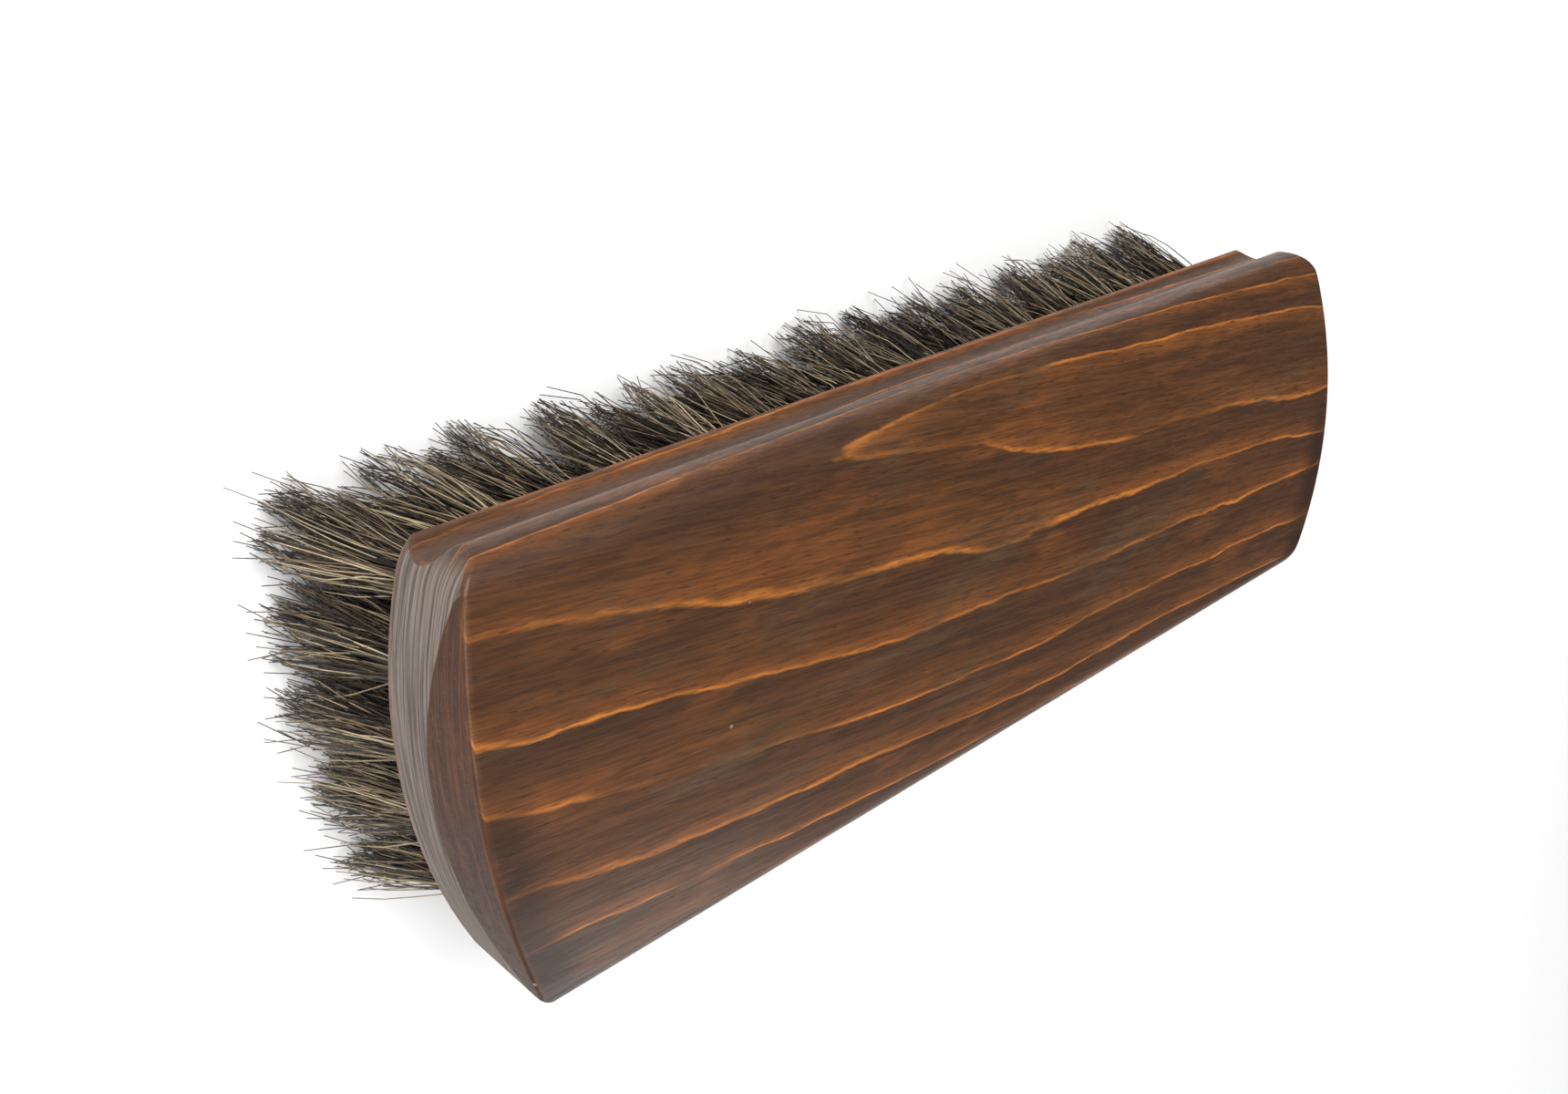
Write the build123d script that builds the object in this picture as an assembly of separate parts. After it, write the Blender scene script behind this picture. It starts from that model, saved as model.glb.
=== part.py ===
from build123d import *
import math
import os

# Block brush with a moulded hardwood back and five rows of horsehair tufts.
# Millimetres. X runs along the brush, Y across it, +Z up. The hair tips stand on Z = 0.

# Wooden block
BLOCK_LENGTH = 172.0
BLOCK_THICKNESS = 16.0
FLANGE_WIDTH = 56.0
END_ARC_RISE = 6.0
PLAN_CORNER_RADIUS = 8.0
TOP_CROWN = 2.4

# Finger cove and shoulder along each long side
COVE_DEPTH = 1.6
COVE_LIP = 0.6
COVE_CENTRE_HEIGHT = 3.6
COVE_TOP_HEIGHT = 7.4
SHOULDER_OVERHANG = 0.8
SHOULDER_HEIGHT = 10.0
SHOULDER_ROUNDING = 5.2
COVE_LIP_SETBACK = 0.25

# Crescent facet where each end leans in towards the top, fading out at the corners
END_BEVEL_LENGTH = 1.6
END_BEVEL_ABOVE_COVE = 0.4
END_BEVEL_RADIUS = 84.0

# Sanded edges around both ends
END_EDGE_RADIUS = 0.6

# Hair
HAIR_LENGTH = 28.0
ROW_COUNT = 15
TUFTS_PER_ROW = 5
MIDDLE_END_MARGIN = 8.0
CORNER_END_MARGIN = 11.2
SIDE_MARGIN = 8.0
SPREAD_ALONG = 1.1
SPREAD_ACROSS = 1.18
TIP_GAP = 0.3

# Drilled holes and wire anchors
HOLE_DIAMETER = 5.6
HOLE_DEPTH = 10.0
HAIR_TO_HOLE_GAP = 0.05
FOLD_HEIGHT = 1.2
ANCHOR_THICKNESS = 0.4
ANCHOR_HEIGHT = 2.0
ANCHOR_BITE = 0.5
ANCHOR_GAP = 0.05

# Values that follow from the sizes above
UNDERSIDE = HAIR_LENGTH
BLOCK_TOP = UNDERSIDE + BLOCK_THICKNESS
HALF_LENGTH = BLOCK_LENGTH / 2
HALF_FLANGE = FLANGE_WIDTH / 2
HALF_SHOULDER = HALF_FLANGE + SHOULDER_OVERHANG
END_BEVEL_DROP = BLOCK_THICKNESS - COVE_TOP_HEIGHT - END_BEVEL_ABOVE_COVE
END_ARC_RADIUS = (HALF_FLANGE ** 2 + END_ARC_RISE ** 2) / (2 * END_ARC_RISE)
SHANK_RADIUS = HOLE_DIAMETER / 2 - HAIR_TO_HOLE_GAP
SHANK_TOP = UNDERSIDE + HOLE_DEPTH - HAIR_TO_HOLE_GAP
ANCHOR_MIDDLE = SHANK_TOP - FOLD_HEIGHT - ANCHOR_HEIGHT / 2
ANCHOR_LENGTH = HOLE_DIAMETER + 2 * ANCHOR_BITE
MIDDLE_LINE_REACH = HALF_LENGTH - MIDDLE_END_MARGIN
OUTER_LINE_REACH = HALF_LENGTH - CORNER_END_MARGIN
OUTER_LINE = HALF_FLANGE - SIDE_MARGIN
PITCH_ACROSS = 2 * OUTER_LINE / (TUFTS_PER_ROW - 1)
TIGHTEST_PITCH_ALONG = 2 * OUTER_LINE_REACH / (ROW_COUNT - 1)
TIP_PITCH = min(TIGHTEST_PITCH_ALONG * SPREAD_ALONG, PITCH_ACROSS * SPREAD_ACROSS)
TIP_RADIUS = (TIP_PITCH - TIP_GAP) / 2


def end_reach(y):
    """Distance from the middle of the brush to the end face at this place across it."""
    return HALF_LENGTH - END_ARC_RADIUS + math.sqrt(END_ARC_RADIUS ** 2 - y ** 2)


def cross_section():
    """The moulded profile: flat underside, finger coves, rounded shoulders and domed top."""
    dome_edge = HALF_SHOULDER - SHOULDER_ROUNDING
    dome_drop = TOP_CROWN * (dome_edge / HALF_SHOULDER) ** 2
    dome_radius = (dome_edge ** 2 + dome_drop ** 2) / (2 * dome_drop)
    dome_tilt = math.asin(dome_edge / dome_radius)
    dome_end = (dome_edge, BLOCK_TOP - dome_drop)
    lip_end = (HALF_FLANGE - COVE_LIP_SETBACK, UNDERSIDE + COVE_LIP)
    cove_middle = (HALF_FLANGE - COVE_DEPTH, UNDERSIDE + COVE_CENTRE_HEIGHT)
    cove_end = (HALF_FLANGE, UNDERSIDE + COVE_TOP_HEIGHT)
    with BuildSketch(Plane.YZ) as profile:
        with BuildLine():
            Line((HALF_FLANGE, UNDERSIDE), lip_end)
            cove = ThreePointArc(lip_end, cove_middle, cove_end)
            Spline(
                cove_end,
                (HALF_SHOULDER, UNDERSIDE + SHOULDER_HEIGHT),
                dome_end,
                tangents=(cove % 1, (-math.cos(dome_tilt), math.sin(dome_tilt))),
            )
            mirror(about=Plane.YZ)
            ThreePointArc(dome_end, (0, BLOCK_TOP), (-dome_edge, BLOCK_TOP - dome_drop))
            Line((-HALF_FLANGE, UNDERSIDE), (HALF_FLANGE, UNDERSIDE))
        make_face()
    return profile.sketch


def plan_outline():
    """The outline from above: straight sides and a bowed end face at each end."""
    side = HALF_SHOULDER + SHOULDER_OVERHANG
    with BuildSketch() as outline:
        with BuildLine():
            far_end = ThreePointArc((end_reach(side), -side), (HALF_LENGTH, 0), (end_reach(side), side))
            Line(far_end @ 1, (-end_reach(side), side))
            near_end = ThreePointArc((-end_reach(side), side), (-HALF_LENGTH, 0), (-end_reach(side), -side))
            Line(near_end @ 1, far_end @ 0)
        make_face()
        fillet(outline.vertices(), PLAN_CORNER_RADIUS)
    return outline.sketch


def bevel_cut(end):
    """The thin crescent of wood outside a steep cone that leans in at one end."""
    slope = END_BEVEL_LENGTH / END_BEVEL_DROP
    axis_reach = HALF_LENGTH - END_BEVEL_LENGTH - END_BEVEL_RADIUS
    cone = Pos(end * axis_reach, 0, BLOCK_TOP) * Cone(
        END_BEVEL_RADIUS + slope * BLOCK_THICKNESS,
        END_BEVEL_RADIUS - slope * BLOCK_THICKNESS,
        2 * BLOCK_THICKNESS,
    )
    end_half = Pos(end * HALF_LENGTH, 0, BLOCK_TOP) * Box(
        HALF_LENGTH, FLANGE_WIDTH * 2, BLOCK_THICKNESS * 2
    )
    return end_half - cone


def end_edges(body):
    """Every edge around the two ends, apart from those that lie in the underside."""
    near_ends = [edge for edge in body.edges() if abs(edge.center().X) > OUTER_LINE_REACH]
    return [edge for edge in near_ends if edge.center().Z > UNDERSIDE + COVE_LIP / 3]


def sand_ends(body):
    """Round the end edges, by half as much where the full radius doesn't fit."""
    try:
        return fillet(end_edges(body), END_EDGE_RADIUS)
    except ValueError:
        return fillet(end_edges(body), END_EDGE_RADIUS / 2)


def tuft_places(row):
    """Centres of the holes of one crosswise row, which bows with the ends of the block."""
    share = 2 * row / (ROW_COUNT - 1) - 1
    places = []
    for line in range(TUFTS_PER_ROW):
        y = PITCH_ACROSS * line - OUTER_LINE
        setback = (MIDDLE_LINE_REACH - OUTER_LINE_REACH) * (y / OUTER_LINE) ** 2
        reach = MIDDLE_LINE_REACH - setback
        places.append((share * reach, y))
    return places


def hole(x, y):
    """Drill for one hole, with the slit that its anchor bites into the wood."""
    drill = Pos(x, y, UNDERSIDE) * Cylinder(
        HOLE_DIAMETER / 2, HOLE_DEPTH, align=(Align.CENTER, Align.CENTER, Align.MIN)
    )
    slit = Box(ANCHOR_LENGTH + ANCHOR_GAP, ANCHOR_THICKNESS + ANCHOR_GAP, ANCHOR_HEIGHT + ANCHOR_GAP)
    return drill + Pos(x, y, ANCHOR_MIDDLE) * slit


def block():
    """The one-piece wooden back with its coved sides, bevelled ends and drilled holes."""
    bar = extrude(cross_section(), amount=HALF_LENGTH, both=True)
    cutter = Pos(0, 0, UNDERSIDE) * extrude(plan_outline(), amount=BLOCK_THICKNESS)
    body = bar & cutter
    for end in (-1, 1):
        body = body - bevel_cut(end)
    body = sand_ends(body)
    holes = [hole(x, y) for row in range(ROW_COUNT) for x, y in tuft_places(row)]
    return body - holes


def anchor(x, y):
    """One short flat wire that holds a folded tuft down in its hole."""
    return Pos(x, y, ANCHOR_MIDDLE) * Box(ANCHOR_LENGTH, ANCHOR_THICKNESS, ANCHOR_HEIGHT)


def tuft(x, y):
    """One bundle of hair: a round shank in the hole, fanning and leaning out to the tips."""
    shank = Pos(x, y, UNDERSIDE) * Cylinder(
        SHANK_RADIUS, SHANK_TOP - UNDERSIDE, align=(Align.CENTER, Align.CENTER, Align.MIN)
    )
    mouth = Pos(x, y, UNDERSIDE) * Circle(SHANK_RADIUS)
    tips = Pos(x * SPREAD_ALONG, y * SPREAD_ACROSS, 0) * Circle(TIP_RADIUS)
    fan = loft([tips, mouth])
    anchor_room = Box(
        ANCHOR_LENGTH, ANCHOR_THICKNESS + 2 * ANCHOR_GAP, ANCHOR_HEIGHT + 2 * ANCHOR_GAP
    )
    return shank + fan - Pos(x, y, ANCHOR_MIDDLE) * anchor_room


def save(shape, node):
    """Write one sub-part, and say what was written."""
    shape.label = node
    export_step(shape, "parts/" + node + ".step")
    print(node, len(shape.solids()), "solids, volume", round(shape.volume, 1))


def main():
    os.makedirs("parts", exist_ok=True)
    save(block(), "block")
    for row in range(ROW_COUNT):
        number = f"{row + 1:02d}"
        places = tuft_places(row)
        save(Compound(children=[tuft(x, y) for x, y in places]), "tuft_row_" + number)
        save(Compound(children=[anchor(x, y) for x, y in places]), "anchor_row_" + number)


main()
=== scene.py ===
"""Looks for a block clothes brush: stained flat-sawn wood, tufts of mixed horsehair and wire anchors."""

import math

import bmesh
import bpy
import numpy as np
from mathutils import Matrix, Vector


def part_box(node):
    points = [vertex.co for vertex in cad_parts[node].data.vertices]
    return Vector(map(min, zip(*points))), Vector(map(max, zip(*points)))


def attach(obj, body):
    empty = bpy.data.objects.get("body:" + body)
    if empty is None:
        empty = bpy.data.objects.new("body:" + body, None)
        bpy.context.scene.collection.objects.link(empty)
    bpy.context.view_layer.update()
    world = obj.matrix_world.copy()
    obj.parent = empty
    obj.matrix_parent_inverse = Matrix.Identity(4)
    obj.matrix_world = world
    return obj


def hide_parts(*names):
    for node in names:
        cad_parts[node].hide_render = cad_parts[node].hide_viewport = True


bl_info = {
    "name": "Block clothes brush",
    "version": (1, 0, 0),
    "blender": (4, 5, 0),
    "location": "3D View > Sidebar > Brush",
    "description": "Dresses the brush with hair, lacquered wood and wire anchors, and sets its stage",
    "category": "Object",
}

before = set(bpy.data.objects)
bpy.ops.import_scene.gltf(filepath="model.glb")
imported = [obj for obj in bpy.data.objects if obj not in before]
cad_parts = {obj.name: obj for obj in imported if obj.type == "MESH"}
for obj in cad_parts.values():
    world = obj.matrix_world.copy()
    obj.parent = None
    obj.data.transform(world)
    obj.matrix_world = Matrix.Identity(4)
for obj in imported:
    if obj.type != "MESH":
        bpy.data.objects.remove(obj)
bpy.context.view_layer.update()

MM = 0.001
SEED = 20
TUFTS_PER_ROW = 5
TUFT_ROWS = sorted(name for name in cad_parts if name.startswith("tuft_row_"))
ANCHOR_ROWS = sorted(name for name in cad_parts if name.startswith("anchor_row_"))
BLOCK_LOW, BLOCK_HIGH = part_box("block")
UNDERSIDE = BLOCK_LOW.z
BLOCK_TOP = BLOCK_HIGH.z
# Nearly all of a noise lies between these
NOISE_RANGE = (0.3, 0.7)


# ---------------------------------------------------------------- node helpers


def link(tree, source, target):
    """Join one output socket to one input socket."""
    tree.links.new(source, target)


def put(tree, value, socket):
    """Feed a socket from another node's output, or set it to a plain value."""
    if isinstance(value, bpy.types.NodeSocket):
        tree.links.new(value, socket)
    else:
        socket.default_value = value


def maths(tree, operation, first, second=None, third=None, clamp=False):
    """A Math node's output."""
    node = tree.nodes.new("ShaderNodeMath")
    node.operation = operation
    node.use_clamp = clamp
    for socket, value in zip(node.inputs, (first, second, third)):
        if value is not None:
            put(tree, value, socket)
    return node.outputs[0]


def remap(tree, value, low, high, to_low=0.0, to_high=1.0):
    """A value taken smoothly from one range to another, held at its ends."""
    node = tree.nodes.new("ShaderNodeMapRange")
    node.interpolation_type = "SMOOTHSTEP"
    put(tree, value, node.inputs["Value"])
    for name, number in (("From Min", low), ("From Max", high), ("To Min", to_low), ("To Max", to_high)):
        put(tree, number, node.inputs[name])
    return node.outputs["Result"]


def noise(tree, vector, scale=1.0, detail=2.0, roughness=0.5):
    """A Noise Texture's grey output."""
    node = tree.nodes.new("ShaderNodeTexNoise")
    put(tree, vector, node.inputs["Vector"])
    node.inputs["Scale"].default_value = scale
    node.inputs["Detail"].default_value = detail
    node.inputs["Roughness"].default_value = roughness
    return node.outputs[0]


def stretched(tree, vector, scale):
    """The same coordinates drawn out or squeezed along each axis."""
    node = tree.nodes.new("ShaderNodeMapping")
    put(tree, vector, node.inputs["Vector"])
    node.inputs["Scale"].default_value = scale
    return node.outputs[0]


def grain_noise(tree, place, along, across, detail=3.0, roughness=0.6):
    """Noise drawn out along X, with about so many features to the millimetre along and across the grain."""
    return noise(tree, stretched(tree, place, (along, across, across)), 1.0, detail, roughness)


def tinted(colour, strength):
    """A colour made darker or paler."""
    return tuple(strength * channel for channel in colour)


def ramp(tree, value, stops):
    """A colour ramp with the given (place, colour) stops."""
    node = tree.nodes.new("ShaderNodeValToRGB")
    put(tree, value, node.inputs[0])
    elements = node.color_ramp.elements
    while len(elements) < len(stops):
        elements.new(1.0)
    for element, (place, colour) in zip(elements, stops):
        element.position = place
        element.color = (*colour, 1.0)
    return node.outputs[0]


def blend_colours(tree, share, first, second, mode="MIX"):
    """Two colours mixed by a share."""
    node = tree.nodes.new("ShaderNodeMix")
    node.data_type = "RGBA"
    node.blend_type = mode
    put(tree, share, node.inputs["Factor"])
    put(tree, first if isinstance(first, bpy.types.NodeSocket) else (*first, 1.0), node.inputs["A"])
    put(tree, second if isinstance(second, bpy.types.NodeSocket) else (*second, 1.0), node.inputs["B"])
    return node.outputs["Result"]


def new_group(name, inputs, outputs):
    """An empty shader node group with named sockets, and its two end nodes."""
    group = bpy.data.node_groups.new(name, "ShaderNodeTree")
    for label, kind in inputs:
        group.interface.new_socket(name=label, in_out="INPUT", socket_type=kind)
    for label, kind in outputs:
        group.interface.new_socket(name=label, in_out="OUTPUT", socket_type=kind)
    return group, group.nodes.new("NodeGroupInput"), group.nodes.new("NodeGroupOutput")


def use_group(tree, name, **values):
    """A group node with its inputs set or joined."""
    node = tree.nodes.new("ShaderNodeGroup")
    node.node_tree = bpy.data.node_groups[name]
    for label, value in values.items():
        put(tree, value, node.inputs[label.replace("_", " ")])
    return node.outputs


def new_material(name):
    """A material with only a Principled shader and an output, and its node tree."""
    material = bpy.data.materials.new(name)
    material.use_nodes = True
    tree = material.node_tree
    tree.nodes.clear()
    output = tree.nodes.new("ShaderNodeOutputMaterial")
    shader = tree.nodes.new("ShaderNodeBsdfPrincipled")
    link(tree, shader.outputs[0], output.inputs["Surface"])
    return material, tree, shader


def named_value(tree, name):
    """A number kept on the mesh under this name."""
    attribute = tree.nodes.new("ShaderNodeAttribute")
    attribute.attribute_name = name
    return attribute.outputs["Fac"]


def add_bump(tree, shader, height, strength, distance):
    """Raise the surface by a height."""
    bump = tree.nodes.new("ShaderNodeBump")
    bump.inputs["Strength"].default_value = strength
    bump.inputs["Distance"].default_value = distance
    link(tree, height, bump.inputs["Height"])
    link(tree, bump.outputs[0], shader.inputs["Normal"])


def dress(piece, material):
    """Give a piece one material in place of any it had."""
    piece.data.materials.clear()
    piece.data.materials.append(material)


def object_coordinates(tree):
    """Object coordinates in millimetres."""
    where = tree.nodes.new("ShaderNodeTexCoord")
    return stretched(tree, where.outputs["Object"], (1 / MM, 1 / MM, 1 / MM))


# ---------------------------------------------------------------- shared surface effects

FLOAT, VECTOR = "NodeSocketFloat", "NodeSocketVector"
GRAIN_DRIFT = math.radians(7.5)
# How bluntly a ring turns over beside the heart, in square millimetres
HEART_BLUNTNESS = 5.0
# How many times faster the rings pass going down into the board than going across it
DEPTH_PACE = 3.4
# Waves in the rings, from broad to fine; each reach is in millimetres
RING_WAVES = (
    {"along": 0.008, "across": 0.030, "detail": 2.0, "reach": 19.0},
    {"along": 0.050, "across": 0.120, "detail": 3.0, "reach": 3.6},
    {"along": 0.300, "across": 0.600, "detail": 2.0, "reach": 0.5},
)
RUBBED_WIDTH = 1.1 * MM
# Dot product of the rounded and the true normal: beside a soft edge, and at a sharp one
SOFT_EDGE, SHARP_EDGE = 0.995, 0.86
SPECKS_PER_MM = 0.075
# A speck's outline and its solid middle, as shares of the spacing of the specks
SPECK_RADIUS, SPECK_CORE = 0.028, 0.016


def along_grain(group, place):
    """Coordinates turned a little in plan, to follow grain that drifts across the block."""
    turned = group.nodes.new("ShaderNodeMapping")
    link(group, place, turned.inputs["Vector"])
    turned.inputs["Rotation"].default_value = (0.0, 0.0, GRAIN_DRIFT)
    return turned.outputs[0]


def wander(group, place, along, across, detail, reach):
    """A smooth random shift of up to about half the reach, either way."""
    drifting = grain_noise(group, place, along, across, detail)
    return maths(group, "MULTIPLY", maths(group, "SUBTRACT", drifting, 0.5), reach)


def build_growth_rings():
    """Growth rings of a flat-sawn board: each brightens slowly up to its line, then starts dark again."""
    group, start, end = new_group(
        "growth rings",
        [("Place", VECTOR), ("Ring Width", FLOAT), ("Heart Side", FLOAT), ("Top Height", FLOAT)],
        [("Ring", FLOAT)],
    )
    place = along_grain(group, start.outputs["Place"])
    axes = group.nodes.new("ShaderNodeSeparateXYZ")
    link(group, place, axes.inputs[0])
    # The tree's heart ran under one long edge, so the rings close there in long points
    from_heart = maths(group, "SUBTRACT", start.outputs["Heart Side"], axes.outputs["Y"])
    squared = maths(group, "MULTIPLY_ADD", from_heart, from_heart, HEART_BLUNTNESS)
    depth = maths(group, "SUBTRACT", start.outputs["Top Height"], axes.outputs["Z"])
    distance = maths(group, "MULTIPLY_ADD", depth, DEPTH_PACE, maths(group, "SQRT", squared))
    for wave in RING_WAVES:
        distance = maths(group, "ADD", distance, wander(group, place, **wave))
    ring = maths(group, "FRACT", maths(group, "DIVIDE", distance, start.outputs["Ring Width"]))
    link(group, ring, end.inputs["Ring"])


def build_fibre_streaks():
    """Fine fibres and short dark pores drawn out along the grain."""
    group, start, end = new_group(
        "fibre streaks", [("Place", VECTOR)], [("Fibres", FLOAT), ("Pores", FLOAT)]
    )
    place = along_grain(group, start.outputs["Place"])
    broad = grain_noise(group, place, along=0.04, across=0.8)
    thin = grain_noise(group, place, along=0.20, across=3.2, detail=2.0)
    fibres = maths(group, "MULTIPLY_ADD", broad, 0.5, maths(group, "MULTIPLY", thin, 0.5))
    link(group, fibres, end.inputs["Fibres"])
    dashes = grain_noise(group, place, along=0.45, across=3.8, detail=1.0, roughness=0.4)
    link(group, remap(group, dashes, 0.60, 0.74), end.inputs["Pores"])


def build_edge_wear():
    """Where an edge is sharp enough to be rubbed: the rounded normal against the true one."""
    group, start, end = new_group(
        "edge wear", [("Place", VECTOR), ("Patchiness", FLOAT)], [("Wear", FLOAT)]
    )
    rounded = group.nodes.new("ShaderNodeBevel")
    rounded.samples = 4
    rounded.inputs["Radius"].default_value = RUBBED_WIDTH
    plain = group.nodes.new("ShaderNodeNewGeometry")
    turn = group.nodes.new("ShaderNodeVectorMath")
    turn.operation = "DOT_PRODUCT"
    link(group, rounded.outputs[0], turn.inputs[0])
    link(group, plain.outputs["Normal"], turn.inputs[1])
    sharp = remap(group, turn.outputs["Value"], SOFT_EDGE, SHARP_EDGE)
    patches = remap(group, grain_noise(group, start.outputs["Place"], along=0.12, across=0.3), 0.35, 0.68)
    bare = maths(group, "SUBTRACT", patches, 1.0)
    patchy = maths(group, "MULTIPLY_ADD", bare, start.outputs["Patchiness"], 1.0)
    link(group, maths(group, "MULTIPLY", sharp, patchy, clamp=True), end.inputs["Wear"])


def build_dust():
    """A few tiny pale specks of dust and nicks, scattered wide apart."""
    group, start, end = new_group("dust specks", [("Place", VECTOR)], [("Specks", FLOAT)])
    cells = group.nodes.new("ShaderNodeTexVoronoi")
    link(group, start.outputs["Place"], cells.inputs["Vector"])
    cells.inputs["Scale"].default_value = SPECKS_PER_MM
    near = remap(group, cells.outputs["Distance"], SPECK_RADIUS, SPECK_CORE)
    link(group, near, end.inputs["Specks"])


# ---------------------------------------------------------------- stained wood

# The wood is made darker along a circle about the middle of the block, just inside its bowed ends
DARK_BAND_CIRCLE = 84 * MM
DARK_BAND_START, DARK_BAND_FULL = 8.0 * MM, 1.8 * MM
# Across the brush, from the side where that darkening is faintest to the side where it is strongest
DARK_BAND_FAINT_SIDE, DARK_BAND_STRONG_SIDE = 9.0 * MM, -7.0 * MM
# Patches in the stain, and in the darker band inside the ends: the noise where one starts and where it is
# full, and its cover there
FADED_PATCHES = (0.44, 0.66, 0.05, 0.85)
SMOKY_PATCHES = (0.50, 0.72, 0.0, 0.7)
WARM_PATCHES = (0.54, 0.74, 0.0, 0.5)
DARK_BAND_PATCHES = (0.36, 0.52, 0.4, 1.0)
# Dark and pale fibres, and how much each dims or brightens the stain
FIBRE_LIGHTS = (0.34, 0.66, 0.66, 1.38)
PORE_TONE = 0.5
FACET_TINT = (0.58, 0.46, 0.34)
PALE_END_GRAIN = 2.9
DUST_COLOUR = (0.40, 0.34, 0.28)
EDGE_PATCHINESS = 0.8
# How strongly each layer covers what is under it
PORE_COVER, FACET_COVER, WEAR_COVER, DUST_COVER = 0.6, 0.85, 0.7, 0.35
# The part of a face's normal that runs along the brush, from a side face to an end face
ENDWISE = (0.55, 0.85)
# How far an end face's normal leans upwards: none on the end grain, more on the facet
UPRIGHT, LEANING = (0.17, 0.05), (0.08, 0.18)
# Layers of the end grain lie flat, a few to each millimetre of height
END_LAYERS = (0.06, 0.06, 2.6)
# Roughness of the face from its darkest fibres to its palest, and what end grain and wear add to it
FACE_ROUGHNESS = (0.56, 0.42)
END_ROUGHER, WORN_ROUGHER = 0.22, 0.10
LACQUER_WEIGHT = 0.14
PORE_DEPTH = -0.8
FIBRE_RELIEF = 0.08 * MM


def stained_face(tree, place, fibre, smoky, settings):
    """Growth rings under the stain, with faded, smoky and warm patches, fibres and pores."""
    rings = use_group(
        tree,
        "growth rings",
        Place=place,
        Ring_Width=settings.ring_width / MM,
        Heart_Side=settings.heart_side / MM,
        Top_Height=BLOCK_TOP / MM,
    )
    deep, brown, amber = settings.deep_stain, settings.brown_stain, settings.amber_stain
    line = settings.ring_line
    ring_tones = [(0.0, deep), (0.22, deep), (0.58, brown), (0.90, amber), (0.955, line), (0.995, deep)]
    face = ramp(tree, rings["Ring"], ring_tones)
    faded = grain_noise(tree, place, along=0.022, across=0.07)
    face = blend_colours(tree, remap(tree, faded, *FADED_PATCHES), face, brown)
    face = blend_colours(tree, remap(tree, smoky, *SMOKY_PATCHES), face, settings.smoky_stain)
    warm = grain_noise(tree, place, along=0.05, across=0.2)
    face = blend_colours(tree, remap(tree, warm, *WARM_PATCHES), face, amber)
    face = blend_colours(tree, 1.0, face, remap(tree, fibre["Fibres"], *FIBRE_LIGHTS), "MULTIPLY")
    pores = maths(tree, "MULTIPLY", fibre["Pores"], PORE_COVER)
    return blend_colours(tree, pores, face, tinted(deep, PORE_TONE))


def darkening_inside_ends(tree, place, smoky):
    """How much darker the wood is made just inside the curve of each end, mostly on one side."""
    axes = tree.nodes.new("ShaderNodeSeparateXYZ")
    link(tree, place, axes.inputs[0])
    reach = tree.nodes.new("ShaderNodeVectorMath")
    reach.operation = "LENGTH"
    in_plan = stretched(tree, place, (1.0, 1.0, 0.0))
    link(tree, in_plan, reach.inputs[0])
    from_circle = maths(tree, "SUBTRACT", DARK_BAND_CIRCLE / MM, reach.outputs["Value"])
    patchy = remap(tree, smoky, *DARK_BAND_PATCHES)
    one_side = remap(tree, axes.outputs["Y"], DARK_BAND_FAINT_SIDE / MM, DARK_BAND_STRONG_SIDE / MM, 0.15, 0.95)
    band = maths(tree, "MULTIPLY", remap(tree, from_circle, DARK_BAND_START / MM, DARK_BAND_FULL / MM), patchy)
    return maths(tree, "MULTIPLY", band, one_side)


def end_masks(tree):
    """Masks of the upright end faces, and of the facet that leans in above each."""
    facing = tree.nodes.new("ShaderNodeNewGeometry")
    normal = tree.nodes.new("ShaderNodeSeparateXYZ")
    link(tree, facing.outputs["Normal"], normal.inputs[0])
    endwise = remap(tree, maths(tree, "ABSOLUTE", normal.outputs["X"]), *ENDWISE)
    lean = maths(tree, "ABSOLUTE", normal.outputs["Z"])
    upright = maths(tree, "MULTIPLY", endwise, remap(tree, lean, *UPRIGHT))
    leaning = maths(tree, "MULTIPLY", endwise, remap(tree, lean, *LEANING))
    return upright, leaning


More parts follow.
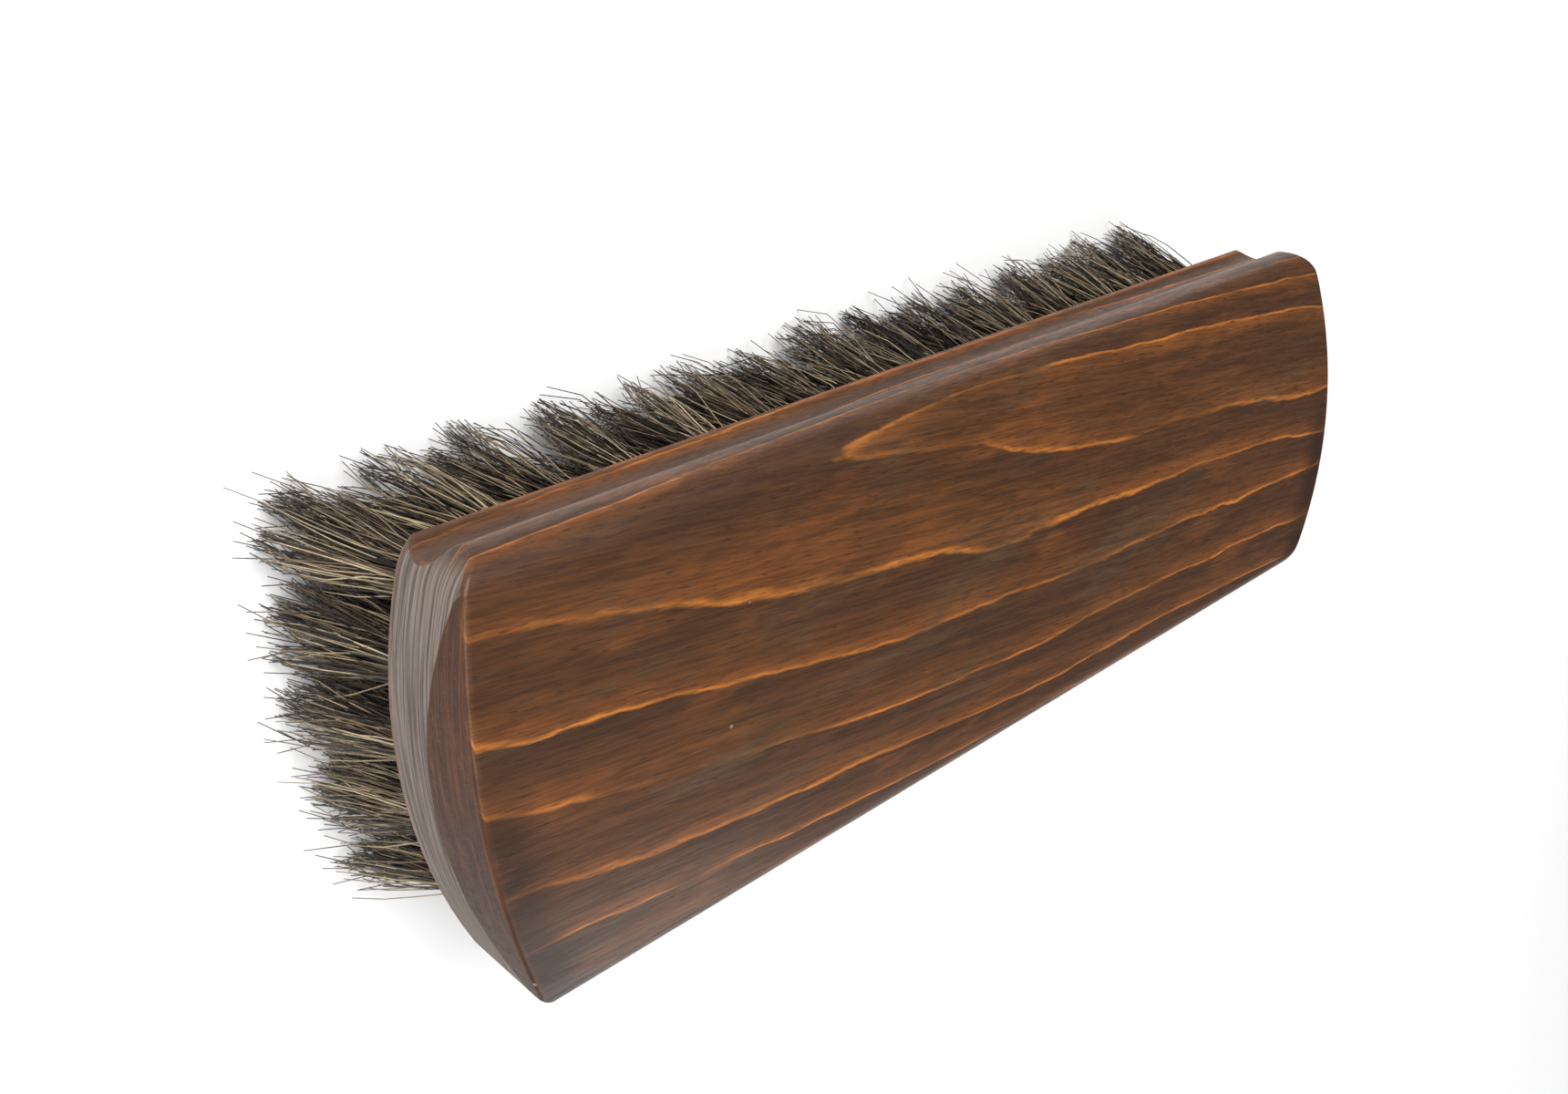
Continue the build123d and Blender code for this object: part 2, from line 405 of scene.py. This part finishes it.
def stained_wood(settings):
    """Walnut-brown stain over flat-sawn wood, under a clear lacquer; greyer and dull on the end grain."""
    material, tree, shader = new_material("walnut_stained_wood")
    place = object_coordinates(tree)
    fibre = use_group(tree, "fibre streaks", Place=place)
    smoky = grain_noise(tree, place, along=0.035, across=0.13, detail=4.0, roughness=0.65)
    surface = stained_face(tree, place, fibre, smoky, settings)
    # A darker band just inside the curve of each end, in patches and mostly on one side
    darkened_inside_ends = darkening_inside_ends(tree, place, smoky)
    surface = blend_colours(tree, darkened_inside_ends, surface, tinted(settings.deep_stain, PORE_TONE))

    end_face, facet = end_masks(tree)
    layers = noise(tree, stretched(tree, place, END_LAYERS), detail=3.0, roughness=0.6)
    facet_tones = [(0.40, settings.deep_stain), (0.50, settings.brown_stain), (0.62, settings.amber_stain)]
    facet_tone = blend_colours(tree, 1.0, ramp(tree, layers, facet_tones), FACET_TINT, "MULTIPLY")
    surface = blend_colours(tree, maths(tree, "MULTIPLY", facet, FACET_COVER), surface, facet_tone)
    end_tones = [(0.40, settings.end_grain), (0.60, tinted(settings.end_grain, PALE_END_GRAIN))]
    surface = blend_colours(tree, end_face, surface, ramp(tree, layers, end_tones))

    wear = use_group(tree, "edge wear", Place=place, Patchiness=EDGE_PATCHINESS)["Wear"]
    surface = blend_colours(tree, maths(tree, "MULTIPLY", wear, WEAR_COVER), surface, settings.rubbed_edge)
    dust = use_group(tree, "dust specks", Place=place)["Specks"]
    surface = blend_colours(tree, maths(tree, "MULTIPLY", dust, DUST_COVER), surface, DUST_COLOUR)
    link(tree, surface, shader.inputs["Base Color"])

    rough = remap(tree, fibre["Fibres"], *NOISE_RANGE, *FACE_ROUGHNESS)
    rough = maths(tree, "MULTIPLY_ADD", end_face, END_ROUGHER, rough)
    rough = maths(tree, "MULTIPLY_ADD", wear, WORN_ROUGHER, rough, clamp=True)
    link(tree, rough, shader.inputs["Roughness"])
    height = maths(tree, "MULTIPLY_ADD", fibre["Pores"], PORE_DEPTH, fibre["Fibres"])
    height = maths(tree, "ADD", height, maths(tree, "MULTIPLY", layers, end_face))
    add_bump(tree, shader, height, 0.35, FIBRE_RELIEF)
    lacquered = maths(tree, "SUBTRACT", 1.0, maths(tree, "MAXIMUM", end_face, facet))
    link(tree, maths(tree, "MULTIPLY", lacquered, LACQUER_WEIGHT), shader.inputs["Coat Weight"])
    shader.inputs["Coat Roughness"].default_value = 0.2
    shader.inputs["Specular IOR Level"].default_value = 0.22
    return material


# ---------------------------------------------------------------- other materials

# Olive hair is dark hair with this much of the palest in it
OLIVE_SHARE = 0.55
# Shares of a strand's length: where the painted shade at its root is deepest, where that painted shade ends,
# and where the tip begins
ROOT_SHADE_DEEPEST, ROOT_SHADE_ENDS, TIP_BEGINS = 0.10, 0.50, 0.7
# How strongly the painted shade darkens the roots, and how dark some tips are
ROOT_SHADE_STRENGTH, TIP_DARKNESS = 0.8, 0.5
# The darkest and the brightest that patches of hair get
HAIR_MOTTLE = (0.72, 1.25)
HAIR_ROUGHNESS = (0.36, 0.54)
STEEL_ROUGHNESS = (0.28, 0.5)
SCALE_RELIEF = 0.02 * MM
TARNISH = 0.5
DRAWING_RELIEF = 0.02 * MM
SOFT_SHADE = 0.985


def mixed_horsehair(settings):
    """Beige, grey and near-black hairs mixed strand by strand, some darker at the tips, with painted shade
    darkening the half of each strand nearest the block.
    """
    material, tree, shader = new_material("mixed_horsehair")
    black, brown, pale = settings.dark_hair, settings.brown_hair, settings.pale_hair
    olive = tuple((1 - OLIVE_SHARE) * low + OLIVE_SHARE * high for low, high in zip(black, pale))
    tone = named_value(tree, "strand_tone")
    along = named_value(tree, "strand_along")
    strand = ramp(tree, tone, [(0.0, black), (0.42, black), (0.56, brown), (0.78, olive), (0.95, pale)])
    place = object_coordinates(tree)
    mottle = noise(tree, place, scale=0.45, detail=3.0, roughness=0.6)
    strand = blend_colours(tree, 1.0, strand, remap(tree, mottle, *NOISE_RANGE, *HAIR_MOTTLE), "MULTIPLY")
    dark_tip = remap(tree, along, TIP_BEGINS, 1.0, 0.0, TIP_DARKNESS)
    dark_tip = maths(tree, "MULTIPLY", dark_tip, remap(tree, mottle, 0.4, 0.6))
    strand = blend_colours(tree, dark_tip, strand, black)
    # Painted shade: strands darken towards black from halfway along up to the block, where the tufts crowd
    # together
    painted_root_shade = remap(tree, along, ROOT_SHADE_ENDS, ROOT_SHADE_DEEPEST, 0.0, ROOT_SHADE_STRENGTH)
    strand = blend_colours(tree, painted_root_shade, strand, black)
    link(tree, strand, shader.inputs["Base Color"])
    scales = noise(tree, place, scale=3.0)
    link(tree, remap(tree, scales, *NOISE_RANGE, *HAIR_ROUGHNESS), shader.inputs["Roughness"])
    add_bump(tree, shader, scales, 0.2, SCALE_RELIEF)
    shader.inputs["Sheen Weight"].default_value = 0.02
    shader.inputs["Specular IOR Level"].default_value = 0.3
    return material


def drawn_steel(settings):
    """Flat wire, drawn bright and since tarnished a little."""
    material, tree, shader = new_material("drawn_steel")
    lines = grain_noise(tree, object_coordinates(tree), along=0.4, across=6.0, detail=2.0, roughness=0.5)
    steel = settings.anchor_steel
    steel_tones = [(0.3, tinted(steel, TARNISH)), (0.7, steel)]
    link(tree, ramp(tree, lines, steel_tones), shader.inputs["Base Color"])
    link(tree, remap(tree, lines, *NOISE_RANGE, *STEEL_ROUGHNESS), shader.inputs["Roughness"])
    add_bump(tree, shader, lines, 0.2, DRAWING_RELIEF)
    shader.inputs["Metallic"].default_value = 1.0
    return material


def pale_paper(settings):
    """A plain pale sweep under the brush."""
    material, tree, shader = new_material("pale_paper")
    shade = noise(tree, object_coordinates(tree), scale=0.004)
    plain = settings.floor_colour
    paper_tones = [(0.3, tinted(plain, SOFT_SHADE)), (0.7, plain)]
    link(tree, ramp(tree, shade, paper_tones), shader.inputs["Base Color"])
    shader.inputs["Roughness"].default_value = 0.9
    return material


# ---------------------------------------------------------------- hair

# Corners closer than this in a CAD node are one corner
WELD = 0.0005 * MM
# How much of its hole's radius a tuft's roots fill
ROOT_SPREAD = 0.88
# In shares of the tuft's tip radius: where the locks lie, how hairs scatter, and how far strays reach
LOCK_SPREAD, HAIR_SCATTER, STRAY_REACH = 1.02, 0.26, 0.6
# How far each hair is drawn to its lock, at least and at most
LOCK_PULL = (0.10, 0.60)
# A hair's own unevenness against its lock's, and its double bend against its single one
OWN_UNEVENNESS, KINK = 0.45, 0.5
# How late the hairs fan out on their way down; 1 is straight
FAN_CURVE = 1.3
FLOOR_GAP = 0.1 * MM
# The shortest hair ends this far up, as a share of the hair's height
SHORTEST = 0.4
LOCK_TONE_SHARE = 0.25
STRAND_SIDES = 3


def separate_solids(node):
    """The corner points of each closed solid in a CAD node, from one side of the brush to the other."""
    shape = bmesh.new()
    shape.from_mesh(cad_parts[node].data)
    bmesh.ops.remove_doubles(shape, verts=shape.verts, dist=WELD)
    waiting = set(shape.verts)
    solids = []
    while waiting:
        reached = [waiting.pop()]
        for corner in reached:
            beyond = {edge.other_vert(corner) for edge in corner.link_edges} & waiting
            waiting -= beyond
            reached.extend(beyond)
        solids.append(np.array([corner.co for corner in reached]))
    shape.free()
    if len(solids) != TUFTS_PER_ROW:
        raise RuntimeError(f"{node} has {len(solids)} solids, not {TUFTS_PER_ROW}")
    return sorted(solids, key=lambda points: points[:, 1].min())


def middle_and_radius(points):
    """The middle in plan of a round piece's corner points, and its radius."""
    low, high = points[:, :2].min(0), points[:, :2].max(0)
    return (low + high) / 2, (high - low)[1] / 2


def tufts_of(tuft_row, anchor_row):
    """Each tuft's hole middle, hole radius, tip middle and tip radius, in metres."""
    tufts = []
    for tuft, anchor in zip(separate_solids(tuft_row), separate_solids(anchor_row)):
        heights = tuft[:, 2]
        hole_middle, _ = middle_and_radius(anchor)
        _, hole_radius = middle_and_radius(tuft[heights > heights.max() - MM])
        tip_middle, tip_radius = middle_and_radius(tuft[heights < heights.min() + MM])
        tufts.append((hole_middle, hole_radius, tip_middle, tip_radius))
    return tufts


def in_disc(random, count):
    """Points spread evenly over a disc of radius one."""
    angle = random.uniform(0, 2 * math.pi, count)
    reach = np.sqrt(random.uniform(0, 1, count))
    return np.stack([np.cos(angle) * reach, np.sin(angle) * reach], axis=1)


def step_shares(settings):
    """How far down its length each point of a strand is: its root, the hole's mouth, then even steps."""
    mouth = settings.root_depth / (UNDERSIDE + settings.root_depth)
    return np.concatenate([[0], np.linspace(mouth, 1, settings.steps)])


def gather_in_locks(random, share, settings):
    """Where each hair ends, in shares of the tip radius, and the lock that it is drawn to."""
    count = len(share)
    locks = in_disc(random, settings.locks_per_tuft) * LOCK_SPREAD
    fanned = share + random.normal(0, HAIR_SCATTER, (count, 2))
    nearest = np.linalg.norm(fanned[:, None] - locks[None], axis=2).argmin(1)
    pull = random.uniform(*LOCK_PULL, (count, 1))
    gathered = fanned * (1 - pull) + locks[nearest] * pull
    stray = random.random((count, 1)) < settings.stray_share
    gathered += np.where(stray, random.uniform(-STRAY_REACH, STRAY_REACH, (count, 2)), 0)
    return gathered, nearest


def grow_tuft(random, tuft, settings, count):
    """The hairs of one tuft: points of shape (hair, step, xyz), and a tone for each hair."""
    hole, hole_radius, tip, tip_radius = tuft
    share = in_disc(random, count)
    root = hole + share * hole_radius * ROOT_SPREAD
    gathered, lock = gather_in_locks(random, share, settings)
    end = tip + gathered * tip_radius * settings.fan

    lock_lift = random.uniform(0, 1, settings.locks_per_tuft) ** 2 * settings.unevenness
    lift = lock_lift[lock] + random.exponential(settings.unevenness * OWN_UNEVENNESS, count)
    lift = np.clip(lift + FLOOR_GAP, FLOOR_GAP, UNDERSIDE * SHORTEST)
    bend = random.normal(0, settings.bend, (count, 1, 2))
    kink = random.normal(0, settings.bend * KINK, (count, 1, 2))

    # A strand runs straight down inside its hole, and fans out and bends only below the mouth
    steps = step_shares(settings)[None, :, None]
    mouth = steps[:, 1:2]
    below = np.maximum(0, (steps - mouth) / (1 - mouth))
    flat = root[:, None] + (end - root)[:, None] * below**FAN_CURVE
    flat = flat + bend * np.sin(math.pi * below) * below + kink * np.sin(2 * math.pi * below) * below
    top = UNDERSIDE + settings.root_depth
    height = top + (lift[:, None, None] - top) * steps
    paths = np.concatenate([flat, height], axis=2)
    lock_tone = random.uniform(0, 1, settings.locks_per_tuft)
    tone = (1 - LOCK_TONE_SHARE) * random.uniform(0, 1, count) + LOCK_TONE_SHARE * lock_tone[lock]
    return paths, tone


def wire_profile():
    """A small triangle that gives each hair its body."""
    curve = bpy.data.curves.new("hair_profile", "CURVE")
    spline = curve.splines.new("POLY")
    spline.points.add(STRAND_SIDES - 1)
    for index, point in enumerate(spline.points):
        turn = -2 * math.pi * index / STRAND_SIDES
        point.co = (math.cos(turn), math.sin(turn), 0, 1)
    spline.use_cyclic_u = True
    profile = bpy.data.objects.new("hair_profile", curve)
    bpy.context.scene.collection.objects.link(profile)
    return profile


def hair_mesh(name, paths, profile, settings):
    """A closed tapering strand along each path, all in one mesh."""
    curve = bpy.data.curves.new(name, "CURVE")
    curve.dimensions = "3D"
    curve.bevel_mode = "OBJECT"
    curve.bevel_object = profile
    count = paths.shape[1]
    thickness = np.linspace(settings.root_thickness, settings.tip_thickness, count) / 2
    rows = np.concatenate([paths, np.ones(paths.shape[:2] + (1,))], axis=2)
    for row in rows:
        spline = curve.splines.new("POLY")
        spline.points.add(count - 1)
        spline.points.foreach_set("co", row.ravel())
        spline.points.foreach_set("radius", thickness)
    strand = bpy.data.objects.new(name, curve)
    bpy.context.scene.collection.objects.link(strand)
    depsgraph = bpy.context.evaluated_depsgraph_get()
    mesh = bpy.data.meshes.new_from_object(strand.evaluated_get(depsgraph))
    bpy.data.objects.remove(strand)
    bpy.data.curves.remove(curve)
    mesh.name = name
    close_ends(mesh)
    mesh.polygons.foreach_set("use_smooth", np.ones(len(mesh.polygons), bool))
    return mesh


def close_ends(mesh):
    """Close both ends of every strand, and turn all faces outwards."""
    shape = bmesh.new()
    shape.from_mesh(mesh)
    bmesh.ops.holes_fill(shape, edges=shape.edges, sides=STRAND_SIDES)
    bmesh.ops.recalc_face_normals(shape, faces=shape.faces)
    shape.to_mesh(mesh)
    shape.free()


def tag_strands(mesh, tones, shares):
    """Keep each strand's tone, and how far along it each vertex is, for the material to read."""
    if len(mesh.vertices) != len(tones) * len(shares) * STRAND_SIDES:
        raise RuntimeError(f"{mesh.name} has {len(mesh.vertices)} vertices, which doesn't fit its strands")
    tone = np.repeat(tones, len(shares) * STRAND_SIDES)
    along = np.tile(np.repeat(shares, STRAND_SIDES), len(tones))
    for name, values in (("strand_tone", tone), ("strand_along", along)):
        attribute = mesh.attributes.new(name, "FLOAT", "POINT")
        attribute.data.foreach_set("value", values.astype(np.float32))


# ---------------------------------------------------------------- stage

FLOOR_SIZE = 6.0
MIDDLE_OF_TOP = Vector((0, 0, BLOCK_TOP))
BESIDE_BRUSH = Vector((0.3, -0.5, 0))
# Name, place, what it is aimed at, width, and power as a share of the key light's
LIGHTS = (
    ("key_light", (-0.25, 0.75, 0.95), MIDDLE_OF_TOP, 0.9, 1.0),
    ("fill_light", (-1.0, -0.15, 0.75), MIDDLE_OF_TOP, 0.8, 0.45),
    ("floor_light", (0.2, -1.1, 0.5), BESIDE_BRUSH, 0.8, 0.3),
)
CAMERA_PLACE = Vector((-0.13428, 0.08068, 0.15785))
CAMERA_AIM = Vector((-0.0416, 0.0168, 0.044))
CAMERA_ROLL = math.radians(110.9)
CAMERA_LENS = 31.39
CAMERA_SHIFT = (0.0019, 0.0054)


def lay_floor(settings):
    """A wide plain floor at the hair tips."""
    bpy.ops.mesh.primitive_plane_add(size=FLOOR_SIZE, location=(0, 0, 0))
    floor = bpy.context.object
    floor.name = "floor"
    dress(floor, pale_paper(settings))


def light_surround(scene, settings):
    """An even surround that looks white but lights the brush only a little."""
    world = bpy.data.worlds.new("surround")
    world.use_nodes = True
    tree = world.node_tree
    background = tree.nodes["Background"]
    background.inputs["Color"].default_value = (1.0, 1.0, 1.0, 1.0)
    seen = tree.nodes.new("ShaderNodeLightPath").outputs["Is Camera Ray"]
    dim = settings.world_strength
    link(tree, maths(tree, "MULTIPLY_ADD", seen, 1.0 - dim, dim), background.inputs["Strength"])
    scene.world = world
    scene.view_settings.view_transform = "Standard"


def add_light(name, place, target, size, power):
    """A square soft light aimed at a target."""
    light = bpy.data.lights.new(name, "AREA")
    light.size = size
    light.energy = power
    lamp = bpy.data.objects.new(name, light)
    lamp.location = place
    lamp.rotation_euler = (target - lamp.location).to_track_quat("-Z", "Y").to_euler()
    bpy.context.scene.collection.objects.link(lamp)


def place_camera(scene):
    """A camera above one end, rolled so that the hair points up and to the left."""
    data = bpy.data.cameras.new("camera")
    data.lens = CAMERA_LENS
    data.shift_x, data.shift_y = CAMERA_SHIFT
    data.clip_start = MM
    camera = bpy.data.objects.new("camera", data)
    aim = (CAMERA_AIM - CAMERA_PLACE).to_track_quat("-Z", "Y").to_matrix().to_4x4()
    camera.matrix_world = Matrix.Translation(CAMERA_PLACE) @ aim @ Matrix.Rotation(CAMERA_ROLL, 4, "Z")
    scene.collection.objects.link(camera)
    scene.camera = camera


# ---------------------------------------------------------------- add-on settings


def colour(name, description, default):
    """A linear colour setting."""
    return bpy.props.FloatVectorProperty(
        name=name, description=description, default=default, subtype="COLOR", size=3, min=0.0, max=1.0
    )


def length(name, description, default):
    """A length setting in metres."""
    return bpy.props.FloatProperty(
        name=name,
        description=description,
        default=default,
        unit="LENGTH",
        subtype="DISTANCE",
        min=0.0,
        precision=6,
    )


class WoodSettings(bpy.types.PropertyGroup):
    """Growth rings and stain colours of the block"""

    ring_width: length("Ring width", "How far apart the growth rings lie on the top of the block", 9.5 * MM)
    heart_side: length("Heart side", "How far to one side the rings close in points", 26.0 * MM)
    deep_stain: colour("Deep stain", "Darkest stained wood, just past a growth ring", (0.040, 0.0165, 0.0072))
    brown_stain: colour("Brown stain", "Main colour of the stained wood", (0.057, 0.0220, 0.0075))
    amber_stain: colour("Amber stain", "Orange wood beside a growth ring", (0.118, 0.039, 0.0095))
    ring_line: colour("Ring line", "The thin bright line of a growth ring", (0.33, 0.110, 0.018))
    smoky_stain: colour("Smoky stain", "Olive-grey clouds in the stain", (0.052, 0.0315, 0.0165))
    end_grain: colour("End grain", "Darker tone of the bare-looking end faces", (0.057, 0.045, 0.037))
    rubbed_edge: colour("Rubbed edge", "Wood showing where an edge is rubbed", (0.30, 0.10, 0.028))


class HairSettings(bpy.types.PropertyGroup):
    """Number, shape and colours of the strands"""

    hairs_per_tuft: bpy.props.IntProperty(
        name="Hairs per tuft",
        description="How many strands grow from each hole",
        default=270,
        min=10,
        max=400,
    )
    locks_per_tuft: bpy.props.IntProperty(
        name="Locks per tuft",
        description="How many pointed locks a tuft splits into",
        default=6,
        min=1,
        max=40,
    )
    steps: bpy.props.IntProperty(
        name="Steps", description="How many straight steps each strand is made of", default=6, min=3, max=12
    )
    root_thickness: length("Root thickness", "Thickness of a strand at its root", 0.31 * MM)
    tip_thickness: length("Tip thickness", "Thickness of a strand at its tip", 0.15 * MM)
    root_depth: length("Root depth", "How far up inside its hole each strand starts", 2.5 * MM)
    unevenness: length("Unevenness", "How much shorter the shorter locks are", 2.4 * MM)
    bend: length("Bend", "How far a strand wanders from its straight path", 1.5 * MM)
    fan: bpy.props.FloatProperty(
        name="Fan", description="How wide the tips spread, against the tips of the CAD tufts", default=1.04
    )
    stray_share: bpy.props.FloatProperty(
        name="Stray share", description="Share of strands that stand away from the rest", default=0.05
    )
    dark_hair: colour("Dark hair", "Colour of the darkest strands", (0.014, 0.0095, 0.0055))
    brown_hair: colour("Brown hair", "Colour of the brown strands", (0.150, 0.098, 0.055))
    pale_hair: colour("Pale hair", "Colour of the palest strands", (0.52, 0.42, 0.265))


class AnchorSettings(bpy.types.PropertyGroup):
    """Colour of the anchors"""

    anchor_steel: colour("Anchor steel", "Colour of the wire anchors", (0.56, 0.55, 0.52))


class StageSettings(bpy.types.PropertyGroup):
    """Floor, lights and surround"""

    floor_colour: colour("Floor colour", "Colour of the plain floor", (0.76, 0.76, 0.76))
    key_power: bpy.props.FloatProperty(
        name="Key light", description="Strength of the large soft light", default=25.0, unit="POWER"
    )
    world_strength: bpy.props.FloatProperty(
        name="Surround", description="Strength of the even white surround", default=0.16
    )


# ---------------------------------------------------------------- add-on operators


class CLOTHES_BRUSH_OT_wood(bpy.types.Operator):
    """Stain and lacquer the wooden block"""

    bl_idname = "clothes_brush.wood"
    bl_label = "Stain the block"
    bl_options = {"REGISTER", "UNDO"}

    def execute(self, context):
        build_growth_rings()
        build_fibre_streaks()
        build_edge_wear()
        build_dust()
        dress(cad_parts["block"], stained_wood(context.scene.brush_wood))
        return {"FINISHED"}


class CLOTHES_BRUSH_OT_hair(bpy.types.Operator):
    """Grow the horsehair tufts, one piece for each crosswise row"""

    bl_idname = "clothes_brush.hair"
    bl_label = "Grow the hair"
    bl_options = {"REGISTER", "UNDO"}

    def execute(self, context):
        settings = context.scene.brush_hair
        material = mixed_horsehair(settings)
        random = np.random.default_rng(SEED)
        profile = wire_profile()
        count = settings.hairs_per_tuft // 1
        for tuft_row, anchor_row in zip(TUFT_ROWS, ANCHOR_ROWS):
            grown = [grow_tuft(random, tuft, settings, count) for tuft in tufts_of(tuft_row, anchor_row)]
            paths = np.concatenate([paths for paths, tones in grown])
            tones = np.concatenate([tones for paths, tones in grown])
            name = tuft_row.replace("tuft", "hair")
            mesh = hair_mesh(name, paths, profile, settings)
            tag_strands(mesh, tones, step_shares(settings))
            hair = bpy.data.objects.new(name, mesh)
            context.scene.collection.objects.link(hair)
            dress(hair, material)
            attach(hair, "root")
            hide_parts(tuft_row)
        profile_curve = profile.data
        bpy.data.objects.remove(profile)
        bpy.data.curves.remove(profile_curve)
        return {"FINISHED"}


class CLOTHES_BRUSH_OT_anchors(bpy.types.Operator):
    """Give the wire anchors in the holes their steel"""

    bl_idname = "clothes_brush.anchors"
    bl_label = "Fit the anchors"
    bl_options = {"REGISTER", "UNDO"}

    def execute(self, context):
        material = drawn_steel(context.scene.brush_anchors)
        for anchor_row in ANCHOR_ROWS:
            dress(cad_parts[anchor_row], material)
        return {"FINISHED"}


class CLOTHES_BRUSH_OT_stage(bpy.types.Operator):
    """Set out the plain floor, the soft lights and the camera"""

    bl_idname = "clothes_brush.stage"
    bl_label = "Set the stage"
    bl_options = {"REGISTER", "UNDO"}

    def execute(self, context):
        settings = context.scene.brush_stage
        lay_floor(settings)
        light_surround(context.scene, settings)
        for name, place, target, size, share in LIGHTS:
            add_light(name, place, target, size, settings.key_power * share)
        place_camera(context.scene)
        return {"FINISHED"}


class CLOTHES_BRUSH_PT_panel(bpy.types.Panel):
    """Settings and buttons for each part of the brush"""

    bl_label = "Clothes brush"
    bl_idname = "CLOTHES_BRUSH_PT_panel"
    bl_space_type = "VIEW_3D"
    bl_region_type = "UI"
    bl_category = "Brush"

    def draw(self, context):
        parts = (
            ("brush_wood", CLOTHES_BRUSH_OT_wood),
            ("brush_hair", CLOTHES_BRUSH_OT_hair),
            ("brush_anchors", CLOTHES_BRUSH_OT_anchors),
            ("brush_stage", CLOTHES_BRUSH_OT_stage),
        )
        for settings_name, operator in parts:
            settings = getattr(context.scene, settings_name)
            column = self.layout.column()
            for name in settings.__annotations__:
                column.prop(settings, name)
            column.operator(operator.bl_idname)


# ---------------------------------------------------------------- run

CLASSES = (
    WoodSettings,
    HairSettings,
    AnchorSettings,
    StageSettings,
    CLOTHES_BRUSH_OT_wood,
    CLOTHES_BRUSH_OT_hair,
    CLOTHES_BRUSH_OT_anchors,
    CLOTHES_BRUSH_OT_stage,
    CLOTHES_BRUSH_PT_panel,
)


def register():
    """Register the settings, operators and panel."""
    for each in CLASSES:
        bpy.utils.register_class(each)
    bpy.types.Scene.brush_wood = bpy.props.PointerProperty(type=WoodSettings)
    bpy.types.Scene.brush_hair = bpy.props.PointerProperty(type=HairSettings)
    bpy.types.Scene.brush_anchors = bpy.props.PointerProperty(type=AnchorSettings)
    bpy.types.Scene.brush_stage = bpy.props.PointerProperty(type=StageSettings)


def unregister():
    """Take the settings, operators and panel away again."""
    for name in ("brush_wood", "brush_hair", "brush_anchors", "brush_stage"):
        delattr(bpy.types.Scene, name)
    for each in reversed(CLASSES):
        bpy.utils.unregister_class(each)


def main():
    register()
    bpy.ops.clothes_brush.wood()
    bpy.ops.clothes_brush.hair()
    bpy.ops.clothes_brush.anchors()
    bpy.ops.clothes_brush.stage()


if __name__ == "__main__":
    main()
